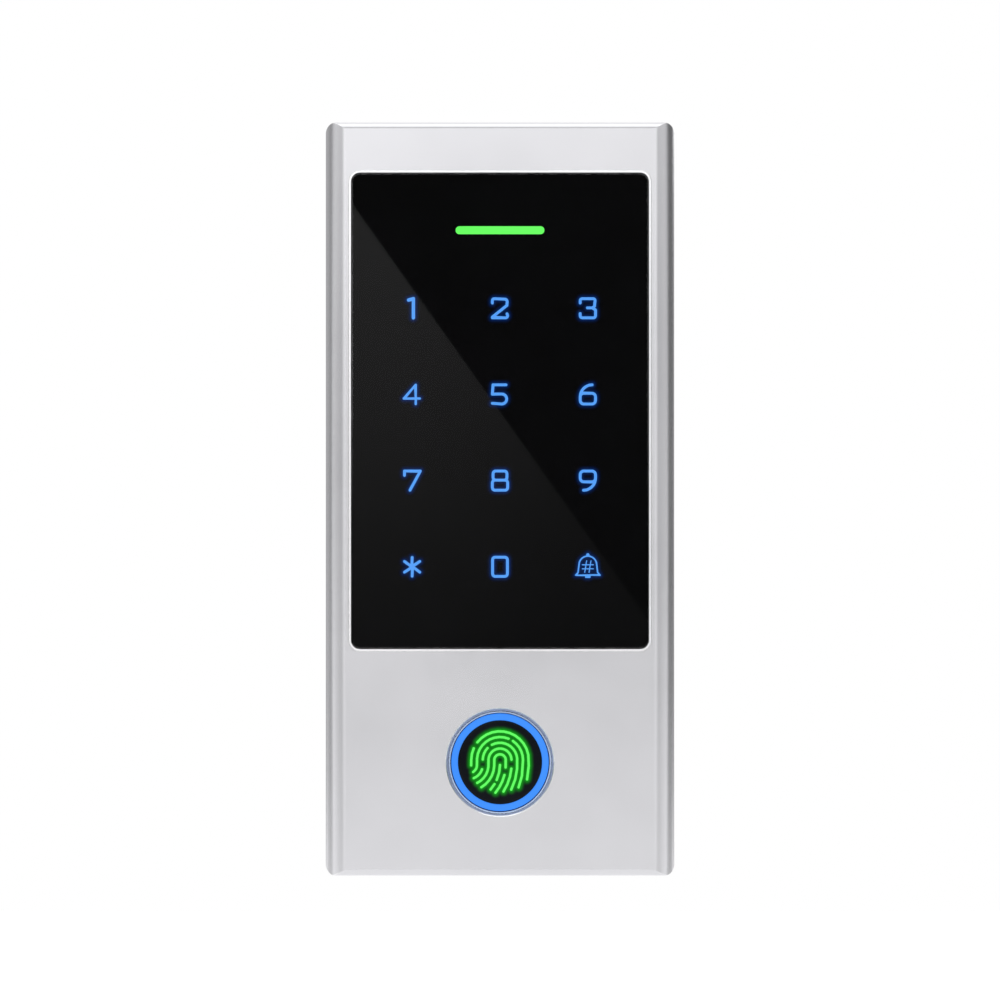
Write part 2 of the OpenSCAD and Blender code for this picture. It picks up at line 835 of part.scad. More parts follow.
module sensor_icon() {
  color("lime") slab(sensor_front, sensor_front + icon_t) icon_outline();
}

module sensor_chip() {
  color("#2a2a30") chip(0, sensor_z, 11, 11, sensor_front + sensor_glass_t, sensor_board_y);
}

module sensor_board() {
  color("darkgreen") sensor_peg(bore_r - 0.05, sensor_board_y, sensor_socket_y);
}

module sensor_leds() {
  color("lightyellow") for (a = [22.5 : 45 : 360]) {
    slab(sensor_board_y - 0.6, sensor_board_y) translate([0, sensor_z]) rotate(a)
      translate([bore_r - 0.75, 0]) square([0.8, 1.6], center = true);
  }
}

module sensor_gasket() {
  color("#303034") difference() {
    sensor_peg(flange_r, inner_y, flange_y);
    sensor_peg(hole_r + 0.1, inner_y - 1, flange_y + 1);
  }
}

module sensor_retainer() {
  color("silver") slab(clamp_y, clamp_y + clamp_t) translate([0, sensor_z]) difference() {
    union() {
      circle(flange_r);
      square([2 * clamp_x, 2 * clamp_boss_r], center = true);
      for (s = [-1, 1]) translate([s * clamp_x, 0]) circle(clamp_boss_r);
    }
    circle(bore_r);
    for (s = [-1, 1]) translate([s * clamp_x, 0]) circle(1.1);
  }
}

module retainer_screws() {
  color("silver") for (s = [-1, 1]) {
    screw([s * clamp_x, sensor_z], 0.97, 1.9, 1.2, clamp_y + clamp_t, clamp_y - 4);
  }
}

module sensor_ribbon() {
  color("white") along_x(-ribbon_w / 2, ribbon_w / 2) stroke(ribbon_path, ribbon_t);
}

module ribbon_sockets() {
  color("ivory") {
    chip(0, sensor_z + 2.4, ribbon_w + 2, 3.2, sensor_socket_y, sensor_socket_y + socket_t);
    chip(0, ribbon_end_z + 1.9, ribbon_w + 2, 3.4, main_y - socket_t, main_y);
  }
}

// ---- Main board ----

module main_board() {
  color("seagreen") slab(main_y, main_rear) board_outline(main_bottom);
}

module main_board_screws() {
  color("silver") for (at = posts) screw(at, 0.77, 1.8, 1.2, main_rear, main_y - 2);
}

// Block on the rear of the main board
module rear_chip(x, z, w, h, t) {
  chip(x, z, w, h, main_rear, main_rear + t);
}

module processor() {
  color("#1c1c1e") rear_chip(-9, 38, 12, 12, 1.3);
}

module memory_chips() {
  color("#1c1c1e") {
    for (z = [13, 24]) rear_chip(-9, z, 10, 8, 1);
  }
}

module power_chips() {
  color("#1c1c1e") {
    rear_chip(5, -3, 5, 4, 1.4);
    rear_chip(-24, 8, 6, 5, 1.4);
    rear_chip(25, -14, 5, 6, 1.4);
  }
}

module chip_passives() {
  color("tan") for (i = [0 : 5], j = [0 : 3]) {
    rear_chip(i * 3 - 13, j * 2 + 48, 1.6, 0.8, 0.6);
  }
}

module inductor() {
  color("#3c3c40") rear_chip(5, 8, 7, 7, 3);
}

module capacitors() {
  color("silver") for (z = [20 : 8 : 44]) {
    peg([-24, z], 3.1, main_rear, main_rear + 5);
  }
}

module relay() {
  color("#202838") rear_chip(-22, -8, 10, 16, 5);
}

module piezo_buzzer() {
  color("#101012") difference() {
    peg([21, 3], 6, main_rear, main_rear + 4.6);
    peg([21, 3], 1.2, main_rear + 3.4, main_rear + 5);
  }
}

// Open-topped pin headers for the wires that come through the grommet
module wire_headers() {
  color("ivory") for (x = [-15, 15]) {
    difference() {
      rear_chip(x, main_bottom + 5, 17, 5.6, 5);
      chip(x, main_bottom + 5, 15.4, 4, main_rear + 1, main_rear + 6);
    }
    for (i = [-3.5 : 3.5]) rear_chip(x + 2 * i * 0.95, main_bottom + 5, 0.5, 0.5, 4.2);
  }
}

module backup_battery() {
  color("silver") {
    peg([20, 24], 6.2, main_rear + 0.8, main_rear + 2.9);
    rear_chip(20, 24, 7, 7, 0.8);
  }
}

module board_connector() {
  middle = (keypad_y + keypad_t + main_y) / 2;
  color("ivory") {
    chip(0, 46, 16, 4.4, keypad_y + keypad_t, middle);
    chip(0, 46, 15, 3.6, middle, main_y);
  }
}

// ---- Tamper switch ----

module tamper_switch() {
  at = [tamper_x, tamper_z];
  color("#d8d0b8") difference() {
    rear_chip(tamper_x, tamper_z, switch_w, switch_w, switch_top - main_rear);
    peg(at, collar_r + run_fit, main_rear + switch_wall, switch_top - switch_wall);
    peg(at, rod_r + run_fit, main_rear + switch_wall, switch_top + 1);
  }
}

module tamper_plunger() {
  at = [tamper_x, tamper_z];
  color("firebrick") {
    peg(at, rod_r, collar_y, -plate_t - 0.05);
    peg(at, collar_r, collar_y, collar_y + collar_t);
  }
}

// Coil of the tamper spring, with one ring of points every twentieth of a turn
module tamper_spring() {
  sides = 6;
  y0 = main_rear + switch_wall + wire_r;
  length = collar_y - wire_r - y0;
  rings = 20 * coils;
  points = [for (i = [0 : rings], j = [0 : sides - 1])
    let (a = 18 * i, u = 360 * j / sides, r = spring_r + wire_r * cos(u))
    [r * cos(a), y0 + length * i / rings + wire_r * sin(u), r * sin(a)]];
  walls = [for (i = [0 : rings - 1], j = [0 : sides - 1])
    let (k = (j + 1) % sides)
    [i * sides + j, (i + 1) * sides + j, (i + 1) * sides + k, i * sides + k]];
  caps = [[for (j = [0 : sides - 1]) j], [for (j = [sides - 1 : -1 : 0]) rings * sides + j]];
  color("silver") translate([tamper_x, 0, tamper_z]) polyhedron(points, concat(walls, caps));
}

mounting_plate();
clinch_nut();
lock_washer();
lock_screw();
front_housing();
rear_cover();
rear_seal();
rear_cover_screws();
cable_grommet();
touch_glass();
legend_mask();
key_legends();
status_bar();
glass_adhesive();
touch_film();
light_diffuser();
light_frame();
keypad_board();
key_leds();
status_leds();
touch_controller();
standoffs();
sensor_barrel();
sensor_light_ring();
sensor_window();
sensor_icon();
sensor_chip();
sensor_board();
sensor_leds();
sensor_gasket();
sensor_retainer();
retainer_screws();
sensor_ribbon();
ribbon_sockets();
main_board();
main_board_screws();
processor();
memory_chips();
power_chips();
chip_passives();
inductor();
capacitors();
relay();
piezo_buzzer();
wire_headers();
backup_battery();
board_connector();
tamper_switch();
tamper_plunger();
tamper_spring();
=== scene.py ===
"""Looks of the fingerprint scanner terminal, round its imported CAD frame. Metres, +Z up, front to -Y."""
import json
import math

import bmesh
import bpy
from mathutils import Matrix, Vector
from mathutils.bvhtree import BVHTree


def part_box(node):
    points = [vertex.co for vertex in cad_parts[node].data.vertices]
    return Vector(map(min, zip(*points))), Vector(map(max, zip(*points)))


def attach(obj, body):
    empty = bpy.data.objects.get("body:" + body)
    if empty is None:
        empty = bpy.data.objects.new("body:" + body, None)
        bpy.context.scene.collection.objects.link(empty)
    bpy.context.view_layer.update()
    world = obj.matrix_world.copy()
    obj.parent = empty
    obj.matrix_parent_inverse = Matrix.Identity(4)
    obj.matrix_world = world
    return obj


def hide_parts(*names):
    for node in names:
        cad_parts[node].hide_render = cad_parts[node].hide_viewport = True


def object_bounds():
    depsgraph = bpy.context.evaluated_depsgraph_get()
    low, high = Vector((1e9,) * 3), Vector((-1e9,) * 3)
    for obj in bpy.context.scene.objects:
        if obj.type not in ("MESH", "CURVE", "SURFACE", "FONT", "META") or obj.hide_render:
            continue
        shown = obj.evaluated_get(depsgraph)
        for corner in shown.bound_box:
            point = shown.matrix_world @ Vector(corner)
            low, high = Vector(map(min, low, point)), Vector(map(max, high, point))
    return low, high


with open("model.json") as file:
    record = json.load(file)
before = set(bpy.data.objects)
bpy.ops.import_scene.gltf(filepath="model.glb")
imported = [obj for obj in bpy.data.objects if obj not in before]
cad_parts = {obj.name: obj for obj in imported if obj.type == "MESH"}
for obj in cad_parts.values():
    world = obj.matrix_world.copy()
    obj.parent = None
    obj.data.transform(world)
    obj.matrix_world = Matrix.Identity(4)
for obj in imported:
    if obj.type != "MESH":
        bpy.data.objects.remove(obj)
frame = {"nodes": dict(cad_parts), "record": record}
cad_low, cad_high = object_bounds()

MM = 0.001
NODES = frame["nodes"]
GLASS_CORNER = 1.8 * MM     # radius of the touch glass's corners
FRONT_DEPTH = 0.005 * MM    # what lies this close behind a mesh's foremost point is its front

# Light that legends, ring and icon give off, in linear colour
BLUE = (0.0, 0.16, 1.0)
GREEN = (0.004, 1.0, 0.004)


# ---- Node trees ----

class Graph:
    """Short calls for building a node tree."""

    def __init__(self, tree):
        self.tree = tree

    def add(self, kind, **settings):
        node = self.tree.nodes.new("ShaderNode" + kind)
        for key, value in settings.items():
            setattr(node, key, value)
        return node

    def plug(self, value, socket):
        if isinstance(value, bpy.types.NodeSocket):
            self.tree.links.new(value, socket)
        else:
            socket.default_value = value

    def maths(self, operation, a, b=0.0, clamp=False):
        node = self.add("Math", operation=operation, use_clamp=clamp)
        self.plug(a, node.inputs[0])
        self.plug(b, node.inputs[1])
        return node.outputs[0]

    def times(self, first, *others):
        for other in others:
            first = self.maths("MULTIPLY", first, other)
        return first

    def plus(self, first, *others):
        for other in others:
            first = self.maths("ADD", first, other)
        return first

    def step(self, value, low, high, at_low=0.0, at_high=1.0):
        """Smooth step of a value between two thresholds."""
        node = self.add("MapRange", interpolation_type="SMOOTHSTEP")
        for socket, v in zip(node.inputs, (value, low, high, at_low, at_high)):
            self.plug(v, socket)
        return node.outputs[0]

    def fall(self, value, low, high):
        """Smooth step from 1 down to 0."""
        return self.step(value, low, high, 1.0, 0.0)

    def band(self, value, rise, full, fade, end):
        """1 between full and fade, and 0 below rise and above end."""
        return self.times(self.step(value, rise, full), self.fall(value, fade, end))

    def mix(self, factor, a, b):
        """Mix of two colours, each a socket or three numbers."""
        node = self.add("Mix", data_type="RGBA")
        colour_a, colour_b, result = node.inputs[6], node.inputs[7], node.outputs[2]
        self.plug(factor, node.inputs["Factor"])
        for value, socket in ((a, colour_a), (b, colour_b)):
            self.plug((*value, 1) if isinstance(value, tuple) else value, socket)
        return result

    def noise(self, vector, scale, detail=2.0, roughness=0.5):
        node = self.add("TexNoise")
        self.plug(vector, node.inputs["Vector"])
        node.inputs["Scale"].default_value = scale
        node.inputs["Detail"].default_value = detail
        node.inputs["Roughness"].default_value = roughness
        return node.outputs["Fac"]


def half_width(node):
    """Half a CAD node's extent along X, the radius of a round one."""
    low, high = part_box(node)
    return (high.x - low.x) / 2


# ---- Camera, floor and light ----

PICTURE_SPAN = 0.2086       # what the picture takes in at the case's front face
CAMERA_DISTANCE = 0.95      # from the case's front face
LENS_BELOW_MIDDLE = 0.2 * MM
FLOOR_Z = -0.45
FLOOR_SIDE, FLOOR_FRONT, FLOOR_BACK = 4.0, -3.2, 4.0


def make_camera():
    data = bpy.data.cameras.new("camera")
    data.sensor_width = 36
    data.lens = data.sensor_width * CAMERA_DISTANCE / PICTURE_SPAN
    camera = bpy.data.objects.new("camera", data)
    bpy.context.scene.collection.objects.link(camera)
    camera.location = (0, cad_low.y - CAMERA_DISTANCE, -LENS_BELOW_MIDDLE)
    camera.rotation_euler = (math.pi / 2, 0, 0)
    bpy.context.scene.camera = camera


def make_floor():
    """A pale floor that fades into the white background far from the object."""
    mesh = bpy.data.meshes.new("floor")
    mesh.from_pydata([(-FLOOR_SIDE, FLOOR_FRONT, FLOOR_Z), (FLOOR_SIDE, FLOOR_FRONT, FLOOR_Z),
                      (FLOOR_SIDE, FLOOR_BACK, FLOOR_Z), (-FLOOR_SIDE, FLOOR_BACK, FLOOR_Z)],
                     [], [(0, 1, 2, 3)])
    floor = bpy.data.objects.new("floor", mesh)
    bpy.context.scene.collection.objects.link(floor)
    material = bpy.data.materials.new("floor_paint")
    material.use_nodes = True
    shader = material.node_tree.nodes["Principled BSDF"]
    shader.inputs["Base Color"].default_value = (0.92, 0.92, 0.92, 1)
    shader.inputs["Roughness"].default_value = 0.9
    shader.inputs["Emission Color"].default_value = (1, 1, 1, 1)
    g = Graph(material.node_tree)
    away = g.add("VectorMath", operation="LENGTH")
    g.plug(g.add("TexCoord").outputs["Object"], away.inputs[0])
    near, far = (1.7, 0.14), (3.1, 0.50)      # distance from the middle, and the light there
    g.plug(g.step(away.outputs["Value"], near[0], far[0], near[1], far[1]),
           shader.inputs["Emission Strength"])
    mesh.materials.append(material)


def make_area_light(name, place, size, power):
    """A soft lamp that looks at the middle of the object."""
    data = bpy.data.lights.new(name, "AREA")
    data.shape = "RECTANGLE"
    data.size, data.size_y = size
    data.energy = power
    light = bpy.data.objects.new(name, data)
    bpy.context.scene.collection.objects.link(light)
    light.location = place
    light.rotation_euler = (-Vector(place)).to_track_quat("-Z", "Y").to_euler()
    light.visible_camera = False


# The world is painted by direction: x, z and forward are parts of the direction's unit vector,
# and across, up and beside are slopes from the line through the camera.

WORLD_LEVEL = 1.14
WALL, CEILING = 0.39, 1.18        # light of the room, low down and overhead
AHEAD, BEHIND = 0.77, 0.16        # added straight ahead of the object and behind it
SHADE = 0.62                      # share of the light missing on the right
BANNER, BANK = 0.70, 1.3          # lit panels above the camera and to its left
FLAG, CARD_LOW, CARD_HIGH = 0.057, 0.07, 0.42
CARD_SLANT = 1.407                # slope of the grey card's edge


def room_level(g, x, z, forward, across, up):
    """The pale room: bright above and straight ahead, greyer low down and to the right. A lit
    banner, apron and side bank stand round the camera."""
    height = g.step(z, 0.34, 0.68, WALL, CEILING)
    ahead = g.step(forward, 0.915, 0.99, 0.0, AHEAD)
    behind = g.step(forward, -0.65, -0.10, BEHIND, 0.0)
    shade = g.times(g.step(x, 0.20, 0.85, 0.0, SHADE), g.fall(forward, -0.50, 0.90))
    room = g.times(g.plus(height, ahead, behind), g.maths("SUBTRACT", 1.0, shade))
    banner = g.times(g.band(up, 0.078, 0.10, 0.30, 0.45), BANNER)
    apron = g.band(up, -0.40, -0.30, -0.11, -0.075)
    bank = g.times(g.band(across, -0.18, -0.10, -0.05, -0.04), g.step(up, 0.050, 0.074, BANK, 0.0),
                   g.step(up, -0.03, 0.01))
    return g.plus(room, banner, apron, bank)


def flag_cover(g, forward, beside, up):
    """Where the dark flag and its stand hide the room."""
    flag = g.times(g.fall(beside, 0.035, 0.038), g.band(up, -0.044, -0.034, 0.073, 0.081))
    stand = g.times(g.fall(beside, 0.14, 0.30), g.band(up, -0.075, -0.050, -0.010, 0.03))
    return g.times(g.maths("MAXIMUM", flag, stand), g.maths("GREATER_THAN", forward, 0.2))


def flag_level(g, across, up):
    """The dark of the flag, and the grey card on its lower left with a slanting edge."""
    edge = g.plus(g.times(across, CARD_SLANT), up)
    card = g.times(g.fall(edge, 0.0190, 0.0198), g.step(up, -0.05, 0.07, CARD_LOW, CARD_HIGH),
                   g.step(across, -0.03, 0.03, 1.0, 0.5))
    return g.plus(FLAG, card)


def make_world():
    """A pale studio. A dark flag behind the camera keeps the glass black, and a grey card in
    front of the flag's lower left gives the glass its diagonal reflection."""
    world = bpy.data.worlds.new("studio")
    world.use_nodes = True
    bpy.context.scene.world = world
    tree = world.node_tree
    tree.nodes.clear()
    g = Graph(tree)
    way = g.add("SeparateXYZ")
    g.plug(g.add("TexCoord").outputs["Generated"], way.inputs[0])
    x, y, z = way.outputs
    forward = g.times(y, -1.0)
    ahead = g.maths("MAXIMUM", forward, 0.001)      # never zero, since the slopes divide by it
    across = g.maths("DIVIDE", x, ahead)
    up = g.maths("DIVIDE", z, ahead)
    room = room_level(g, x, z, forward, across, up)
    flag = flag_cover(g, forward, g.maths("ABSOLUTE", across), up)
    level = g.plus(g.times(room, g.maths("SUBTRACT", 1.0, flag)), g.times(flag_level(g, across, up), flag))
    lit = g.add("Background")
    g.plug(g.times(level, WORLD_LEVEL), lit.inputs["Strength"])
    white = g.add("Background")
    white.inputs["Color"].default_value = (1, 1, 1, 1)
    either = g.add("MixShader")
    g.plug(g.add("LightPath").outputs["Is Camera Ray"], either.inputs[0])
    g.plug(lit.outputs[0], either.inputs[1])
    g.plug(white.outputs[0], either.inputs[2])
    g.plug(either.outputs[0], g.add("OutputWorld").inputs["Surface"])


def make_studio():
    make_camera()
    make_floor()
    make_world()
    bpy.context.scene.view_settings.view_transform = "Standard"
    make_area_light("overhead", (0.0, -0.35, 1.3), (1.2, 0.9), 2.2)
    make_area_light("back_fill", (0.9, 1.4, 0.7), (1.0, 1.0), 5)


# ---- Materials ----

def worn_and_highlit_edge(g, patches, width):
    """1 on sharp edges and 0 on flat faces, weaker where the patches are dark. These edges are made
    lighter, partly as wear and partly as a painted highlight.
    """
    rounded = g.add("Bevel", samples=4)
    rounded.inputs["Radius"].default_value = width
    flatness = g.add("VectorMath", operation="DOT_PRODUCT")
    g.plug(rounded.outputs[0], flatness.inputs[0])
    g.plug(g.add("NewGeometry").outputs["Normal"], flatness.inputs[1])
    return g.maths("MULTIPLY", g.fall(flatness.outputs["Value"], 0.80, 0.985),
                   g.step(patches, 0.30, 0.62, 0.35, 1.0), clamp=True)


def finish(name, colour, rough, metal=0.0, grain=2500.0, depth=0.00002, vary=0.06, patch=70.0,
           streak=None, wear_and_highlight=None, edge_band_width=0.0004, coat=0.0, specular=0.5, glow=None, strength=1.0):
    """A material with fine grain, slow colour and gloss variation, and lighter edges that are partly wear
    and partly a painted highlight. streak stretches the grain along an axis, as brushing does;
    wear_and_highlight is the colour of the edges."""
    material = bpy.data.materials.new(name)
    material.use_nodes = True
    tree = material.node_tree
    g = Graph(tree)
    shader = tree.nodes["Principled BSDF"]
    place = g.add("TexCoord").outputs["Object"]
    fine_place = place
    if streak:
        stretch = g.add("Mapping")
        g.plug(place, stretch.inputs["Vector"])
        stretch.inputs["Scale"].default_value = streak
        fine_place = stretch.outputs[0]
    slow = g.noise(place, patch, 3.0, 0.6)
    fine = g.noise(fine_place, grain, 3.0, 0.65)
    dark = tuple(c * (1 - 2 * vary) for c in colour)
    light = tuple(min(1.0, c * (1 + 2 * vary)) for c in colour)
    tint = g.plus(g.times(slow, 0.7), g.times(fine, 0.3))
    base = g.mix(g.step(tint, 0.3, 0.7), dark, light)
    gloss = g.plus(rough * 0.86, g.times(tint, rough * 0.28))
    # Lighter, glossier edges: partly wear, partly a painted highlight.
    if wear_and_highlight:
        edge = worn_and_highlit_edge(g, slow, edge_band_width)
        base = g.mix(edge, base, wear_and_highlight)
        gloss = g.maths("SUBTRACT", gloss, g.times(edge, rough * 0.3))
    g.plug(base, shader.inputs["Base Color"])
    g.plug(gloss, shader.inputs["Roughness"])
    bump = g.add("Bump")
    bump.inputs["Strength"].default_value = 1.0
    bump.inputs["Distance"].default_value = depth
    g.plug(fine, bump.inputs["Height"])
    g.plug(bump.outputs[0], shader.inputs["Normal"])
    shader.inputs["Metallic"].default_value = metal
    shader.inputs["Specular IOR Level"].default_value = specular
    shader.inputs["Coat Weight"].default_value = coat
    shader.inputs["Coat Roughness"].default_value = 0.06
    if glow:
        shader.inputs["Emission Color"].default_value = (*glow, 1)
        shader.inputs["Emission Strength"].default_value = strength
    return material


def board_finish(name):
    """Green solder mask with the paler lines of copper tracks under it, and tinned pads."""
    material = finish(name, (0.010, 0.115, 0.045), 0.34, grain=900.0, depth=0.000006, coat=0.4,
                      wear_and_highlight=(0.46, 0.42, 0.26), edge_band_width=0.0003)
    tree = material.node_tree
    g = Graph(tree)
    shader = tree.nodes["Principled BSDF"]
    plain = shader.inputs["Base Color"].links[0].from_socket
    place = g.add("TexCoord").outputs["Object"]
    turned = g.add("Mapping")
    g.plug(place, turned.inputs["Vector"])
    turned.inputs["Rotation"].default_value = (math.pi / 2, 0, 0)
    tracks = []
    for angle, where in ((0.0, 0.48), (math.pi / 2, 0.56)):
        lines = g.add("TexBrick")
        spin = g.add("Mapping")
        g.plug(turned.outputs[0], spin.inputs["Vector"])
        spin.inputs["Rotation"].default_value = (0, 0, angle)
        g.plug(spin.outputs[0], lines.inputs["Vector"])
        lines.inputs["Scale"].default_value = 900
        lines.inputs["Mortar Size"].default_value = 0.12
        lines.inputs["Mortar Smooth"].default_value = 0.1
        lines.inputs["Brick Width"].default_value = 9.0
        lines.inputs["Row Height"].default_value = 0.55
        region = g.step(g.noise(place, 55 + 40 * angle, 1.0), where, where + 0.02)
        tracks.append(g.times(lines.outputs["Fac"], region))
    track = g.maths("MAXIMUM", *tracks)
    base = g.mix(g.times(track, 0.8), plain, (0.03, 0.24, 0.10))
    pads = g.add("TexVoronoi")
    g.plug(place, pads.inputs["Vector"])
    pads.inputs["Scale"].default_value = 260
    pads.inputs["Randomness"].default_value = 0.75
    base = g.mix(g.fall(pads.outputs["Distance"], 0.10, 0.13), base, (0.62, 0.61, 0.58))
    g.plug(base, shader.inputs["Base Color"])
    return material


def glass_finish(name):
    """Clear float glass with a faint smear of finger grease in its gloss."""
    material = bpy.data.materials.new(name)
    material.use_nodes = True
    tree = material.node_tree
    g = Graph(tree)
    shader = tree.nodes["Principled BSDF"]
    place = g.add("TexCoord").outputs["Object"]
    smear = g.step(g.noise(place, 45.0, 4.0, 0.6), 0.50, 0.78, 0.0, 0.015)
    g.plug(smear, shader.inputs["Roughness"])
    tint = (0.97, 0.985, 0.985)
    g.plug(g.mix(g.noise(place, 20.0), tuple(c * 0.99 for c in tint), tint), shader.inputs["Base Color"])
    shader.inputs["Transmission Weight"].default_value = 1.0
    shader.inputs["IOR"].default_value = 1.47
    return material


def lit_ink_finish(name, colour, rough, specular, light, strength):
    """Black ink or glass with a painted glow where its mesh says, beside the lit lines."""
    material = finish(name, colour, rough, grain=1600.0, depth=0.000001, vary=0.12,
                      specular=specular)
    g = Graph(material.node_tree)
    shader = material.node_tree.nodes["Principled BSDF"]
    amount = g.add("Attribute", attribute_name="glow").outputs["Fac"]
    # Painted glow: light from the lit lines is painted as emission on the black ink, which is no lamp.
    g.plug(g.mix(amount, (0.0, 0.0, 0.0), light), shader.inputs["Emission Color"])
    shader.inputs["Emission Strength"].default_value = strength
    return material


def rim_finish(name):
    """Blue-tinted bright metal, with a dark line of painted shade at the bottom of the step the light ring
    sits in.
    """
    material = finish(name, (0.50, 0.62, 0.86), 0.20, 1.0, grain=3000, depth=0.000002, vary=0.04,
                      wear_and_highlight=(0.74, 0.82, 0.94), edge_band_width=0.0002)
    g = Graph(material.node_tree)
    shader = material.node_tree.nodes["Principled BSDF"]
    plain = shader.inputs["Base Color"].links[0].from_socket
    low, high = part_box("sensor_barrel")
    step_radius = half_width("sensor_light_ring")
    from_centre = g.add("VectorMath", operation="SUBTRACT")
    g.plug(g.add("TexCoord").outputs["Object"], from_centre.inputs[0])
    from_centre.inputs[1].default_value = (low + high) / 2
    flat = g.add("VectorMath", operation="MULTIPLY")
    g.plug(from_centre.outputs[0], flat.inputs[0])
    flat.inputs[1].default_value = (1, 0, 1)
    radius = g.add("VectorMath", operation="LENGTH")
    g.plug(flat.outputs[0], radius.inputs[0])
    # Painted shade: near black inside the step's radius, where the gap round the light ring lies in
    # shadow.
    outside = g.step(radius.outputs["Value"], step_radius + 0.04 * MM, step_radius + 0.12 * MM)
    g.plug(g.mix(outside, (0.002, 0.016, 0.10), plain), shader.inputs["Base Color"])
    return material


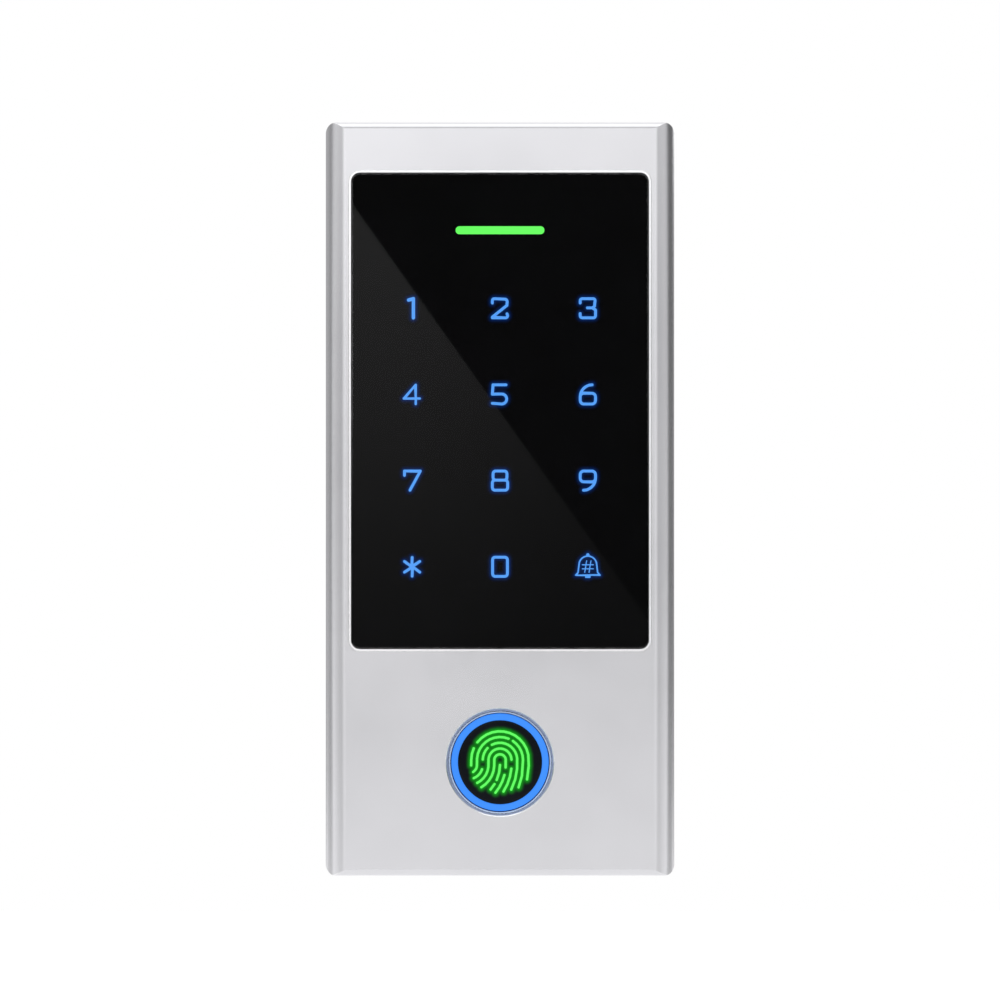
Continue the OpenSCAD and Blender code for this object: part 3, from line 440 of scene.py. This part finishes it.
def make_materials():
    """A material for each of the record's slots."""
    steel_brush = (1.0, 1.0, 0.03)
    return {
        "case_metal": finish("case_metal", (0.700, 0.697, 0.722), 0.22, 1.0, grain=5200, depth=0.0000008,
                             vary=0.012, patch=38, wear_and_highlight=(0.92, 0.92, 0.93), edge_band_width=0.0005),
        "plate_steel": finish("plate_steel", (0.56, 0.57, 0.58), 0.36, 1.0, grain=2600, depth=0.000006,
                              vary=0.07, patch=240, streak=steel_brush, wear_and_highlight=(0.80, 0.80, 0.81)),
        "nut_steel": finish("nut_steel", (0.66, 0.65, 0.60), 0.33, 1.0, grain=3000, depth=0.000006,
                            wear_and_highlight=(0.84, 0.82, 0.76)),
        "screw_steel": finish("screw_steel", (0.52, 0.53, 0.55), 0.27, 1.0, grain=3500, depth=0.000005,
                              wear_and_highlight=(0.82, 0.82, 0.84), edge_band_width=0.0002),
        "lock_steel": finish("lock_steel", (0.060, 0.060, 0.066), 0.36, 0.8, grain=3500, depth=0.000008,
                             wear_and_highlight=(0.42, 0.42, 0.43), edge_band_width=0.00015),
        "nylon_white": finish("nylon_white", (0.80, 0.79, 0.74), 0.42, grain=2500, depth=0.00001,
                              wear_and_highlight=(0.88, 0.87, 0.83)),
        "cover_black": finish("cover_black", (0.026, 0.026, 0.029), 0.56, grain=2300, depth=0.00004,
                              vary=0.10, patch=60, wear_and_highlight=(0.075, 0.075, 0.08), specular=0.4),
        "seal_rubber": finish("seal_rubber", (0.022, 0.022, 0.024), 0.80, grain=1700, depth=0.00003,
                              vary=0.15, wear_and_highlight=(0.06, 0.06, 0.06), specular=0.25),
        "grommet_rubber": finish("grommet_rubber", (0.018, 0.018, 0.020), 0.66, grain=2000,
                                 depth=0.00002, vary=0.18, wear_and_highlight=(0.055, 0.055, 0.058), specular=0.35),
        "clear_glass": glass_finish("clear_glass"),
        "ink_black": lit_ink_finish("ink_black", (0.0026, 0.0026, 0.0032), 0.9, 0.0, BLUE, 0.11),
        "legend_blue": finish("legend_blue", (0.02, 0.06, 0.16), 0.5, grain=1500, depth=0.000002,
                              glow=(0.072, 0.325, 0.90), strength=1.0),
        "status_green": finish("status_green", (0.02, 0.12, 0.02), 0.5, grain=1500, depth=0.000002,
                               glow=(0.125, 1.0, 0.105), strength=1.06),
        "foam_tape": finish("foam_tape", (0.045, 0.045, 0.048), 0.9, grain=1300, depth=0.00008,
                            vary=0.2, specular=0.2),
        "film_clear": finish("film_clear", (0.62, 0.68, 0.67), 0.16, grain=700, depth=0.000004,
                             coat=0.5),
        "diffuser_white": finish("diffuser_white", (0.84, 0.84, 0.82), 0.62, grain=1800,
                                 depth=0.00001),
        "frame_black": finish("frame_black", (0.022, 0.022, 0.024), 0.55, grain=2200, depth=0.00003,
                              vary=0.1, wear_and_highlight=(0.07, 0.07, 0.07)),
        "board_green": board_finish("board_green"),
        "led_cream": finish("led_cream", (0.80, 0.72, 0.34), 0.22, grain=2600, depth=0.000006,
                            coat=0.6, wear_and_highlight=(0.88, 0.87, 0.80), edge_band_width=0.00015),
        "chip_black": finish("chip_black", (0.020, 0.020, 0.022), 0.50, grain=4200, depth=0.000012,
                             vary=0.14, wear_and_highlight=(0.062, 0.062, 0.064), edge_band_width=0.0002),
        "passive_tan": finish("passive_tan", (0.36, 0.25, 0.14), 0.40, grain=2600, depth=0.000008,
                              vary=0.12, wear_and_highlight=(0.72, 0.71, 0.68), edge_band_width=0.0003),
        "brass_post": finish("brass_post", (0.70, 0.50, 0.20), 0.26, 1.0, grain=2600, depth=0.000004,
                             streak=(1, 0.05, 1), wear_and_highlight=(0.86, 0.72, 0.42), edge_band_width=0.0002),
        "barrel_navy": rim_finish("barrel_navy"),
        "ring_blue": finish("ring_blue", (0.02, 0.08, 0.22), 0.38, grain=1500, depth=0.000003,
                            glow=(0.035, 0.215, 0.82), strength=1.0, specular=0.1),
        "sensor_black": lit_ink_finish("sensor_black", (0.0055, 0.0070, 0.0095), 0.12, 0.06, GREEN, 0.32),
        "icon_green": finish("icon_green", (0.02, 0.14, 0.02), 0.40, grain=1500, depth=0.000002,
                             glow=(0.105, 0.93, 0.105), strength=0.98, specular=0.2),
        "ribbon_white": finish("ribbon_white", (0.78, 0.80, 0.82), 0.38, grain=900, depth=0.00001,
                               streak=(3.0, 0.1, 0.1)),
        "socket_ivory": finish("socket_ivory", (0.78, 0.72, 0.54), 0.46, grain=2400, depth=0.00001,
                               wear_and_highlight=(0.86, 0.82, 0.70)),
        "ferrite_grey": finish("ferrite_grey", (0.075, 0.075, 0.080), 0.7, grain=3200, depth=0.00003,
                               vary=0.16, wear_and_highlight=(0.16, 0.16, 0.165)),
        "can_silver": finish("can_silver", (0.72, 0.72, 0.74), 0.20, 1.0, grain=2400, depth=0.000004,
                             wear_and_highlight=(0.86, 0.86, 0.88)),
        "relay_blue": finish("relay_blue", (0.022, 0.050, 0.20), 0.40, grain=2300, depth=0.00001,
                             wear_and_highlight=(0.10, 0.15, 0.34)),
        "battery_steel": finish("battery_steel", (0.66, 0.66, 0.67), 0.22, 1.0, grain=2600,
                                depth=0.000004, streak=(1, 1, 0.05), wear_and_highlight=(0.84, 0.84, 0.85)),
        "switch_ivory": finish("switch_ivory", (0.62, 0.56, 0.40), 0.45, grain=2300, depth=0.00001,
                               wear_and_highlight=(0.74, 0.70, 0.56)),
        "plunger_red": finish("plunger_red", (0.42, 0.025, 0.02), 0.36, grain=2300, depth=0.000008,
                              wear_and_highlight=(0.62, 0.16, 0.13)),
        "spring_steel": finish("spring_steel", (0.55, 0.55, 0.57), 0.24, 1.0, grain=4000,
                               depth=0.000003, wear_and_highlight=(0.8, 0.8, 0.82), edge_band_width=0.0001),
    }


def dress_cad_nodes(materials):
    """Every CAD node takes the finish of its slot."""
    for subpart in frame["record"]["subparts"]:
        node = NODES[subpart["node"]]
        for slot in node.material_slots:
            slot.material = materials[subpart["material_slot"]]


# ---- Mesh tools ----

def add_piece(name, mesh, material_slot, materials, *replaced):
    """A piece that rides the terminal and stands in for the CAD nodes it replaces."""
    piece = bpy.data.objects.new(name, mesh)
    bpy.context.scene.collection.objects.link(piece)
    mesh.materials.append(materials[material_slot])
    if replaced:
        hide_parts(*replaced)
    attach(piece, "terminal")


def rounded_outline(low, high, radius, inset):
    """X-Z points of a rectangle with round corners, drawn in by inset, anticlockwise from the right."""
    points = []
    smallest, steps = 0.05 * MM, 8
    r = max(radius - inset, smallest)
    for corner in range(4):
        turn = corner * math.pi / 2
        sx, sz = ((1, 1), (-1, 1), (-1, -1), (1, -1))[corner]
        x = (high.x - inset - r) if sx > 0 else (low.x + inset + r)
        z = (high.z - inset - r) if sz > 0 else (low.z + inset + r)
        for i in range(steps + 1):
            a = turn + i * math.pi / 2 / steps
            points.append((x + r * math.cos(a), z + r * math.sin(a)))
    return points


def loft(name, rings, close_ends=True):
    """A mesh through rings of points that all have as many points, with flat ends."""
    mesh = bpy.data.meshes.new(name)
    bm = bmesh.new()
    loops = [[bm.verts.new(p) for p in ring] for ring in rings]
    count = len(loops[0])
    for a, b in zip(loops, loops[1:]):
        for i in range(count):
            j = (i + 1) % count
            bm.faces.new((a[i], a[j], b[j], b[i]))
    if close_ends:
        bm.faces.new(list(reversed(loops[0])))
        bm.faces.new(loops[-1])
    bmesh.ops.remove_doubles(bm, verts=bm.verts, dist=0.0001 * MM)
    bmesh.ops.recalc_face_normals(bm, faces=bm.faces)
    bm.to_mesh(mesh)
    bm.free()
    return mesh


def smooth(mesh, degrees=35):
    """Smooth shading, broken where faces meet at more than the angle."""
    mesh.polygons.foreach_set("use_smooth", [True] * len(mesh.polygons))
    mesh.set_sharp_from_angle(angle=math.radians(degrees))
    return mesh


def lathe(name, profile, centre, steps):
    """A closed ring turned from a profile of (radius, Y) points, about a line along Y."""
    rings = []
    for i in range(steps):
        a = 2 * math.pi * i / steps
        rings.append([(centre.x + r * math.cos(a), y, centre.z + r * math.sin(a)) for r, y in profile])
    return smooth(loft(name, rings + rings[:1], close_ends=False), 40)


def glass_rings(section):
    """Rings that follow the touch glass's outline, one for each (distance inside it, Y)."""
    low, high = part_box("touch_glass")
    return [[(x, y, z) for x, z in rounded_outline(low, high, GLASS_CORNER, inset)]
            for inset, y in section]


def frame_round_glass(name, section, sharp):
    """A closed frame round the touch glass, from its section."""
    rings = glass_rings(section)
    return smooth(loft(name, rings + rings[:1], close_ends=False), sharp)


# ---- Glass, ink and sensor ----

def make_glass(materials):
    """The touch glass, with a rounded polished edge."""
    low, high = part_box("touch_glass")
    bevel = 0.12 * MM
    rear_bevel = 0.15 * MM
    flat_rim = bevel + 0.2 * MM      # keeps the face's normals flat up to the rounded edge
    profile = [(flat_rim, low.y)]
    turns = 5
    for i in range(turns + 1):
        a = math.pi / 2 * i / turns
        profile.append((bevel * (1 - math.sin(a)), low.y + bevel * (1 - math.cos(a))))
    profile += [(0.0, high.y - rear_bevel), (rear_bevel, high.y)]
    mesh = smooth(loft("glass_panel", glass_rings(profile)), 30)
    add_piece("glass_panel", mesh, "clear_glass", materials, "touch_glass")


def make_edge_ink(materials):
    """Black ink round the sides of the glass, with a lip that meets the ink sheet."""
    low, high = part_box("touch_glass")
    coat, bite = 0.04 * MM, 0.03 * MM      # outside the glass's sides, and its hold in the glass
    lip = 0.40 * MM
    top, rear = low.y + 0.14 * MM, high.y - 0.01 * MM
    shelf = rear - 0.05 * MM
    section = ((-coat, top), (bite, top), (bite, shelf), (lip, shelf), (lip, rear), (-coat, rear))
    add_piece("edge_ink", frame_round_glass("edge_ink", section, 30), "ink_black", materials)


def make_glass_trim(materials):
    """The bright polished bead in the groove between the glass and the case's chamfer, its near-white
    colour a painted highlight.
    """
    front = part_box("front_housing")[0].y
    # Distance outside the glass and depth behind the case's face, in millimetres
    inner, outer = ((0.08, 0.05), (0.11, 0.02)), ((0.48, 0.02), (0.52, 0.045))
    foot = ((0.20, 0.36), (0.08, 0.36))
    section = [(-out * MM, front + depth * MM) for out, depth in inner + outer + foot]
    mesh = frame_round_glass("glass_trim", section, 15)
    add_piece("glass_trim", mesh, "case_metal", materials)
    # Painted highlight: a near-white copy of the case's metal makes the bead read as the lit chamfer line.
    mesh.materials[0] = finish("trim_painted_highlight", (0.96, 0.957, 0.975), 0.22, 1.0, grain=5200,
                               depth=0.0000008, vary=0.01, patch=38)


def slimmed(name, node, slim, lift):
    """A CAD node's flat strokes, each side drawn in by slim and the front brought forward by lift."""
    sharpest = 0.3      # limits the shift at the ends of pointed strokes
    bm = bmesh.new()
    bm.from_mesh(NODES[node].data)
    bmesh.ops.remove_doubles(bm, verts=bm.verts, dist=0.001 * MM)
    front = min(v.co.y for v in bm.verts) + FRONT_DEPTH
    moves = []
    for vertex in bm.verts:
        sides = [f.normal for f in vertex.link_faces if abs(f.normal.y) < 0.5]
        way = sum(sides, Vector()) / max(len(sides), 1)
        shift = -slim * way / max(way.length_squared, sharpest)
        moves.append(shift - Vector((0, lift if vertex.co.y < front else 0, 0)))
    for vertex, move in zip(bm.verts, moves):
        vertex.co += move
    mesh = bpy.data.meshes.new(name)
    bm.to_mesh(mesh)
    bm.free()
    return smooth(mesh)


def make_lit_lines(materials):
    """Legends, status bar and icon, with the ink's edge creeping a little over their strokes."""
    for name, node, slot, slim in (("legend_lines", "key_legends", "legend_blue", 0.06 * MM),
                                   ("status_light", "status_bar", "status_green", 0.02 * MM),
                                   ("icon_lines", "sensor_icon", "icon_green", 0.05 * MM)):
        mesh = slimmed(name, node, slim, 0.0 if node == "sensor_icon" else 0.03 * MM)
        add_piece(name, mesh, slot, materials, node)


def front_tree(node):
    """Nearest-point search on the front faces of a CAD node."""
    points, faces = [], []
    mesh = NODES[node].data
    front = min(v.co.y for v in mesh.vertices) + FRONT_DEPTH
    for polygon in mesh.polygons:
        corners = [mesh.vertices[i].co for i in polygon.vertices]
        if all(c.y < front for c in corners):
            faces.append(list(range(len(points), len(points) + len(corners))))
            points.extend((c.x, 0.0, c.z) for c in corners)
    return BVHTree.FromPolygons(points, faces)


def paint_glow(mesh, tree, reach):
    """Stores how near each vertex is to the lit lines: 1 on them, 0 at reach and beyond."""
    glow = mesh.attributes.new("glow", "FLOAT", "POINT")
    for vertex, value in zip(mesh.vertices, glow.data):
        distance = tree.find_nearest((vertex.co.x, 0.0, vertex.co.z))[3]
        value.value = max(0.0, 1 - distance / reach) ** 2


def make_ink_sheet(materials):
    """The black ink behind the glass, fine enough to carry the legends' glow."""
    low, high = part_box("legend_mask")
    pitch = 0.4 * MM
    front, rear = low.y - 0.015 * MM, high.y - 0.01 * MM      # the front bites into the glass
    columns = round((high.x - low.x) / pitch)
    rows = round((high.z - low.z) / pitch)
    corner = 1.5 * MM
    bm = bmesh.new()
    grid = []
    for j in range(rows + 1):
        z = low.z + (high.z - low.z) * j / rows
        into = max(0.0, corner - min(z - low.z, high.z - z))
        side = corner - math.sqrt(max(corner ** 2 - into ** 2, 0.0))
        grid.append([bm.verts.new((low.x + side + (high.x - low.x - 2 * side) * i / columns, front, z))
                     for i in range(columns + 1)])
    for a, b in zip(grid, grid[1:]):
        for i in range(columns):
            bm.faces.new((a[i], a[i + 1], b[i + 1], b[i]))
    sheet = bmesh.ops.extrude_face_region(bm, geom=list(bm.faces))
    for item in sheet["geom"]:
        if isinstance(item, bmesh.types.BMVert):
            item.co.y = rear
    bmesh.ops.recalc_face_normals(bm, faces=bm.faces)
    mesh = bpy.data.meshes.new("ink_sheet")
    bm.to_mesh(mesh)
    bm.free()
    paint_glow(mesh, front_tree("key_legends"), 0.8 * MM)
    add_piece("ink_sheet", mesh, "ink_black", materials, "legend_mask")


def make_sensor_disc(materials):
    """The black glass disc round the icon, its edge rounded and its face carrying the glow."""
    low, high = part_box("sensor_window")
    centre = (low + high) / 2
    radius = half_width("sensor_window")
    bevel = 0.25 * MM
    front = low.y + 0.015 * MM
    sides, rounds, turns = 120, 44, 4
    rings = []
    for i in range(1, rounds + 1):
        rings.append(((radius - bevel) * i / rounds, front))
    for i in range(1, turns + 1):
        a = math.pi / 2 * i / turns
        rings.append((radius - bevel * (1 - math.sin(a)), front + bevel * (1 - math.cos(a))))
    rings.append((radius, high.y))
    points = [[(centre.x + r * math.cos(2 * math.pi * k / sides), y,
                centre.z + r * math.sin(2 * math.pi * k / sides)) for k in range(sides)]
              for r, y in rings]
    mesh = smooth(loft("sensor_disc", points), 30)
    paint_glow(mesh, front_tree("sensor_icon"), 0.95 * MM)
    add_piece("sensor_disc", mesh, "sensor_black", materials, "sensor_window")


def make_light_ring(materials):
    """The lit ring, moulded with a low round crown."""
    low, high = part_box("sensor_light_ring")
    inner = half_width("sensor_window") + 0.05 * MM
    # The line's dark colour is painted shade on the barrel.
    outer = half_width("sensor_light_ring") - 0.12 * MM      # leaves the fine dark line round the ring
    crown, half, turns = 0.22 * MM, (outer - inner) / 2, 8
    profile = [(inner, high.y)]
    for i in range(turns + 1):
        a = math.pi * i / turns
        profile.append((inner + half - half * math.cos(a), low.y + crown * (1 - math.sin(a)) ** 1.5))
    profile.append((outer, high.y))
    mesh = lathe("light_ring", profile[::-1], (low + high) / 2, 128)
    add_piece("light_ring", mesh, "ring_blue", materials, "sensor_light_ring")


# ---- Cable grommet ----

LIP_REACH = 1.5 * MM      # how far the lips stand out past the neck
LIP_GROOVE = 0.12 * MM    # depth of the fine groove in a lip's face


def lip_points(rim, low_y, high_y):
    """A half-round lip's outline from its high side to its low side, with a fine groove on its
    high face."""
    half, middle, turns = (high_y - low_y) / 2, (high_y + low_y) / 2, 8
    points = [(rim - 1.9 * MM, high_y), (rim - 1.7 * MM, high_y - LIP_GROOVE), (rim - LIP_REACH, high_y)]
    for i in range(turns + 1):
        a = math.pi / 2 - math.pi * i / turns
        points.append((rim - half + half * math.cos(a), middle + half * math.sin(a)))
    return points + [(rim - LIP_REACH, low_y)]


def make_grommet(materials):
    """The rubber cable grommet: two rounded lips, a neck between them and a lead-in at each end."""
    low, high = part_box("cable_grommet")
    centre = (low + high) / 2
    hole = min(math.hypot(v.co.x - centre.x, v.co.z - centre.z)
               for v in NODES["cable_grommet"].data.vertices)
    rim = half_width("cable_grommet")
    neck, lip = rim - LIP_REACH, 0.9 * MM
    lead_in = [(hole + 0.5 * MM, 0.0), (hole + 0.15 * MM, 0.15 * MM), (hole, 0.5 * MM)]
    profile = [(r, low.y + y) for r, y in lead_in] + [(r, high.y - y) for r, y in lead_in[::-1]]
    profile += lip_points(rim, high.y - lip, high.y)
    profile += [(neck, high.y - lip), (neck, low.y + lip)]
    profile += lip_points(rim, low.y, low.y + lip)
    add_piece("grommet_lips", lathe("grommet_lips", profile, centre, 72), "grommet_rubber",
              materials, "cable_grommet")


# ---- The whole picture ----


make_studio()
MATERIALS = make_materials()
dress_cad_nodes(MATERIALS)
make_glass(MATERIALS)
make_edge_ink(MATERIALS)
make_glass_trim(MATERIALS)
make_lit_lines(MATERIALS)
make_ink_sheet(MATERIALS)
make_sensor_disc(MATERIALS)
make_light_ring(MATERIALS)
make_grommet(MATERIALS)
